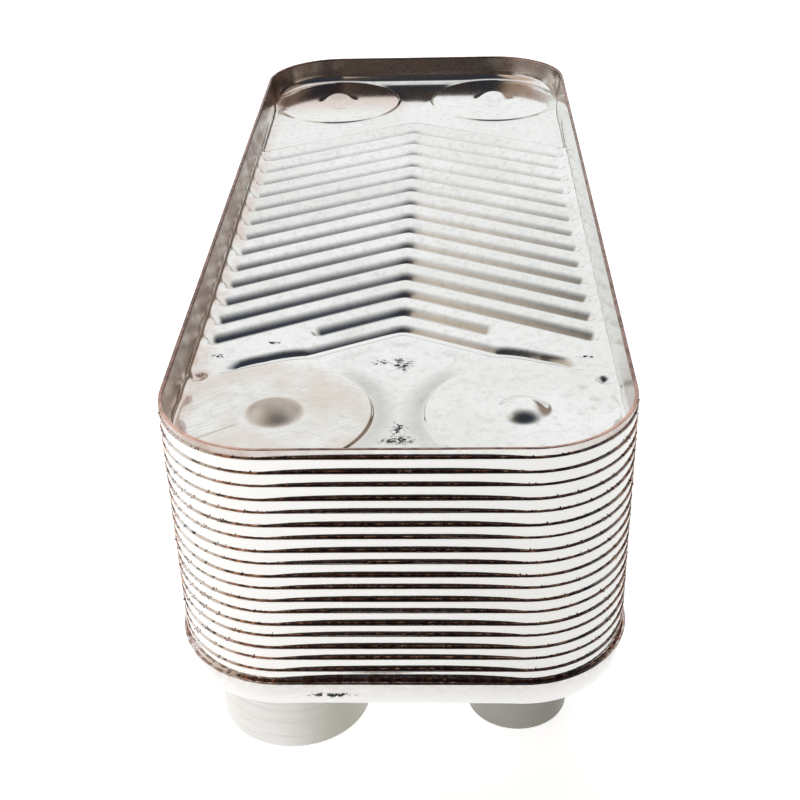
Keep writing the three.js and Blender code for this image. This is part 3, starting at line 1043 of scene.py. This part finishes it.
def cut_rim_colour(tree):
    """The cover's cut rim: dark, bare at the front corners and in mottled patches."""
    from_middle = calc(tree, "ABSOLUTE", calc(tree, "SUBTRACT", axis_mm(tree, 0), 3))
    front_corners = product(
        tree, remap(tree, axis_mm(tree, 1), -70, -92), remap(tree, from_middle, 16, 28), 0.7)
    mottle = product(tree, remap(tree, noise(tree, 1.6, detail=4, shift=6), 0.38, 0.6), 0.3)
    bare = calc(tree, "ADD", front_corners, mottle, clamp=True)
    return mix_colour(tree, bare, DARK_CUT, BARE_CUT)


def cover_steel():
    material, tree = new_material("embossed_cover_steel")
    above_crest = calc(tree, "SUBTRACT", axis_mm(tree, 2), COVER_RIM_Z - COVER_RIM_ABOVE_CREST)
    cloud = noise(tree, 22, detail=4)
    film_cloud = noise(tree, 5, detail=4, shift=7)
    grain = noise(tree, 0.3, detail=4, shift=1)
    streaks = noise(tree, 0.5, detail=5, stretch=(0.12, 1, 1), turn=-35, shift=2)
    cross = noise(tree, 0.5, detail=5, stretch=(0.15, 1, 1), turn=25, shift=8)
    turned = remap(tree, noise(tree, 9, shift=4), 0.4, 0.6)
    streaks = add_node(tree, "Mix", {0: turned, 2: streaks, 3: cross}).outputs[0]
    speckle = noise(tree, 1.4, detail=5, rough=0.7, shift=11)
    bloom_cloud = noise(tree, 8, detail=5, shift=7)
    flecks = noise(tree, 0.4, detail=3, stretch=(0.7, 1, 1), shift=9)

    fan = blob(tree, NEAR_LEFT_DISC, (18, 17), 0.2)
    fan = product(tree, fan, remap(tree, streaks, 0.45, 0.68), 0.22)
    bloom = blob(tree, NEAR_LEFT_DISC, (17.5, 17.5), 0.12)
    bloom = product(tree, bloom, remap(tree, bloom_cloud, 0.38, 0.62, 0.05, 0.6))
    dome = product(tree, blob(tree, NEAR_LEFT_DISC, (5.4, 5.4), 0.2), 0.7)
    # Partly heat film, partly painted shade on the left and far walls
    wall_film_and_shade = wall_heat_film_and_shade(tree, film_cloud, above_crest)
    stains = strongest(tree, *blobs(tree, STAIN_SPOTS, 0.8))
    scored = scratch(tree, (-33, -85.5), (-25, -80), 0.45)
    worn = scuffs(tree, flecks, strongest(tree, *blobs(tree, SCUFF_SPOTS, 0.9)), 0.22, 0.69, 0.73)
    colour = layered(
        tree, COVER_STEEL,
        (remap(tree, cloud, 0.35, 0.65), PALE_STEEL),
        (remap(tree, speckle, 0.45, 0.7, 0, 0.5), SPECKLED_STEEL),
        (disc_shade(tree, cloud), SHADED_STEEL),
        (fan, BROWN_FILM),
        (strongest(tree, bloom, dome), TAN_FILM),
        (product(tree, floor_copper_film(tree, film_cloud), 0.65), COPPER_FILM),
        (wall_film_and_shade, BROWN_FILM),
        (product(tree, stains, remap(tree, grain, 0.35, 0.6, 0.2, 0.5)), STAIN),
        (product(tree, scored, 0.6), BROWN_FILM),
        (worn, SCUFF),
        (remap(tree, rim_value(tree), 0.5, 0.9), cut_rim_colour(tree)),
    )

    rough = remap(tree, grain, 0.3, 0.7, 0.07, 0.13)
    rough = calc(tree, "ADD", rough, product(tree, strongest(tree, fan, worn, dome), 0.5))
    rough = calc(tree, "ADD", rough, product(tree, wall_film_and_shade, 0.22))
    relief = calc(tree, "ADD", grain, calc(tree, "MULTIPLY", scored, -6.0))
    return set_metal(material, colour, rough, relief, 0.0016)


def port_plate_steel():
    material, tree = new_material("thick_port_plate_steel")
    cloud = noise(tree, 18, detail=4)
    fine = noise(tree, 1.0, detail=4, shift=2)
    at_rim = product(tree, rim_value(tree), remap(tree, fine, 0.35, 0.6, 0.2, 0.9))
    flecks = noise(tree, 0.7, detail=2, shift=9)
    in_front = remap(tree, axis_mm(tree, 1), -92, -94)
    spot = product(tree, blob(tree, (-11.5, 18.0), (7.5, 1.2), 0.8, axes=(0, 2)), in_front)
    worn = scuffs(tree, flecks, spot, 0.3, 0.72, 0.75)
    colour = layered(tree, STEEL, (cloud, PALE_STEEL), (at_rim, PORT_PLATE_CUT), (worn, SCUFF))
    return set_metal(material, colour, remap(tree, fine, 0.3, 0.7, 0.12, 0.2), fine, 0.004)


def stub_steel(name, light, dark, low, high):
    """Satin tube with faint turning rings and painted shade: light on its -X side, darker where its
    surface turns to face +X. low and high are the limits of its roughness."""
    material, tree = new_material(name)
    rings = noise(tree, 0.5, detail=3, stretch=(0.03, 0.03, 1))
    cloud = noise(tree, 6, detail=4, shift=4)
    # Painted shade: darker where the surface faces +X
    painted_facing_shade = remap(tree, split_axes(tree, surface_value(tree, "Normal"))[0], -0.3, 0.95)
    share = calc(tree, "ADD", painted_facing_shade, calc(tree, "MULTIPLY", cloud, 0.3), clamp=True)
    colour = layered(tree, light, (share, dark), (remap(tree, rings, 0.5, 0.7, 0, 0.25), dark))
    return set_metal(material, colour, remap(tree, rings, 0.3, 0.7, low, high), rings, 0.01)


def braze_copper():
    material, tree = new_material("dark_braze_copper")
    patch = noise(tree, 1.1, detail=5)
    colour = colour_ramp(tree, patch, [
        (0.36, COPPER_OXIDE), (0.5, DARK_COPPER), (0.6, BARE_COPPER), (0.7, BRIGHT_COPPER),
    ])
    # Painted light: the pale thin copper at the corners fades out towards +X, so the left corners are
    # lighter than the right ones
    painted_light_to_left = remap(tree, axis_mm(tree, 0), 12, -12, 0.15, 1)
    thin_and_lit = product(tree, rim_value(tree), remap(tree, patch, 0.40, 0.46), painted_light_to_left)
    colour = mix_colour(tree, thin_and_lit, colour, THIN_COPPER)
    rough = remap(tree, patch, 0.3, 0.7, 0.24, 0.1)
    return set_metal(material, colour, rough, noise(tree, 0.25, detail=3, shift=5), 0.015)


# --- Stage: pale floor, light from above and all round, dark room behind the camera. In metres.

FLOOR_HALF = 3.0
FLOOR_GLOW = 0.74
CEILING_HALF = 1.3
CEILING_Z = 0.42
CEILING_RIGHT = (0.30, 0.23, 0.19)

# The ceiling's front half, from warm at the left to dark
CEILING_FRONT = [
    (0.0, (0.70, 0.60, 0.50)), (0.34, (0.52, 0.43, 0.34)), (0.46, (0.08, 0.07, 0.065)),
    (0.63, (0.04, 0.04, 0.045)), (0.85, (0.035, 0.04, 0.055)),
]

WHITE = (1.0, 1.0, 1.0)
ROOM_BROWN = (0.20, 0.15, 0.12)
ROOM_DARK = (0.06, 0.042, 0.036)

# The horizon's colours by angle in degrees from +Y towards +X
HORIZON = [
    (-180, ROOM_DARK), (-146, ROOM_DARK), (-132, WHITE), (12, WHITE), (24, ROOM_BROWN),
    (60, ROOM_BROWN), (90, ROOM_DARK), (179, ROOM_DARK),
]


def blank_tree(owner):
    owner.use_nodes = True
    owner.node_tree.nodes.clear()
    return owner.node_tree


def pale_floor():
    """A pale floor that glows a little, and is clear when looked at from below."""
    material = bpy.data.materials.new("pale_floor")
    tree = blank_tree(material)
    diffuse = add_node(tree, "BsdfDiffuse", {"Color": (0.9, 0.9, 0.9, 1)})
    glow = add_node(tree, "Emission", {"Color": (*WHITE, 1), "Strength": FLOOR_GLOW})
    total = add_node(tree, "AddShader", {0: diffuse.outputs[0], 1: glow.outputs[0]})
    clear = add_node(tree, "BsdfTransparent")
    surface = add_node(tree, "MixShader", {
        0: surface_value(tree, "Backfacing"), 1: total.outputs[0], 2: clear.outputs[0],
    })
    add_node(tree, "OutputMaterial", {"Surface": surface.outputs[0]})
    return material


def ceiling_glow():
    """A large soft box: white over the back, but for its right; warm at the front left, else dark."""
    material = bpy.data.materials.new("soft_box")
    tree = blank_tree(material)
    place = split_axes(tree, surface_value(tree, "Position"))
    front = colour_ramp(tree, remap(tree, place[0], -0.5, 0.3), CEILING_FRONT)
    back = mix_colour(tree, remap(tree, place[0], 0.24, 0.5), WHITE, CEILING_RIGHT)
    colour = mix_colour(tree, remap(tree, place[1], -0.11, 0.13), front, back)
    glow = add_node(tree, "Emission", {"Color": colour, "Strength": 1.0})
    add_node(tree, "OutputMaterial", {"Surface": glow.outputs[0]})
    return material


def stage_plane(name, half, z, material):
    mesh = bpy.data.meshes.new(name)
    corners = [(-half, -half, z), (half, -half, z), (half, half, z), (-half, half, z)]
    mesh.from_pydata(corners, [], [(0, 1, 2, 3)])
    mesh.materials.append(material)
    plane = new_object(name, mesh)
    return plane


def make_world():
    """The horizon all round: white behind and to the left, brown to the right, dark in front."""
    world = bpy.data.worlds.new("studio")
    bpy.context.scene.world = world
    tree = blank_tree(world)
    direction = split_axes(tree, add_node(tree, "TexCoord").outputs["Generated"])
    azimuth = calc(tree, "ARCTAN2", direction[0], direction[1])
    turn = calc(tree, "ADD", calc(tree, "DIVIDE", azimuth, 2 * math.pi), 0.5)
    colour = colour_ramp(tree, turn, [(degrees / 360 + 0.5, colour) for degrees, colour in HORIZON])
    glow = add_node(tree, "Background", {"Color": colour, "Strength": 1.0})
    add_node(tree, "OutputWorld", {"Surface": glow.outputs[0]})


def make_stage():
    stage_plane("floor", FLOOR_HALF, 0.0, pale_floor())
    ceiling = stage_plane("soft_box", CEILING_HALF, CEILING_Z, ceiling_glow())
    ceiling.visible_camera = False
    make_world()


# The camera's lens in millimetres, place in metres and turns in degrees
CAMERA_LENS = 60.58
CAMERA_PLACE = (0.0083, -0.2612, 0.1741)
CAMERA_YAW = 2.48
CAMERA_DOWN = 31.04
CAMERA_ROLL = -1.66


def make_camera():
    camera = bpy.data.cameras.new("camera")
    camera.sensor_width = 36
    camera.lens = CAMERA_LENS
    camera.clip_start = 0.01
    viewer = new_object("camera", camera)
    yaw = Matrix.Rotation(math.radians(CAMERA_YAW), 4, "Z")
    pitch = Matrix.Rotation(math.radians(90 - CAMERA_DOWN), 4, "X")
    roll = Matrix.Rotation(math.radians(CAMERA_ROLL), 4, "Z")
    viewer.matrix_world = Matrix.Translation(CAMERA_PLACE) @ yaw @ pitch @ roll
    bpy.context.scene.camera = viewer
    bpy.context.scene.view_settings.view_transform = "Standard"


# Stub finishes: colour on the -X side, painted shade colour towards +X, and the limits of roughness
SATIN_GREY = ((0.80, 0.80, 0.79), (0.40, 0.39, 0.34), 0.3, 0.42)
DARK_GREY = ((0.34, 0.33, 0.30), (0.24, 0.235, 0.205), 0.34, 0.46)

make_camera()
make_stage()
make_channel_plates(channel_steel())
make_cover_plate(cover_steel())
make_port_plate(port_plate_steel())
make_stubs(stub_steel("satin_stub_steel", *SATIN_GREY), stub_steel("dark_stub_steel", *DARK_GREY))
copper = braze_copper()
make_stub_fillets(copper)
make_seams(copper)
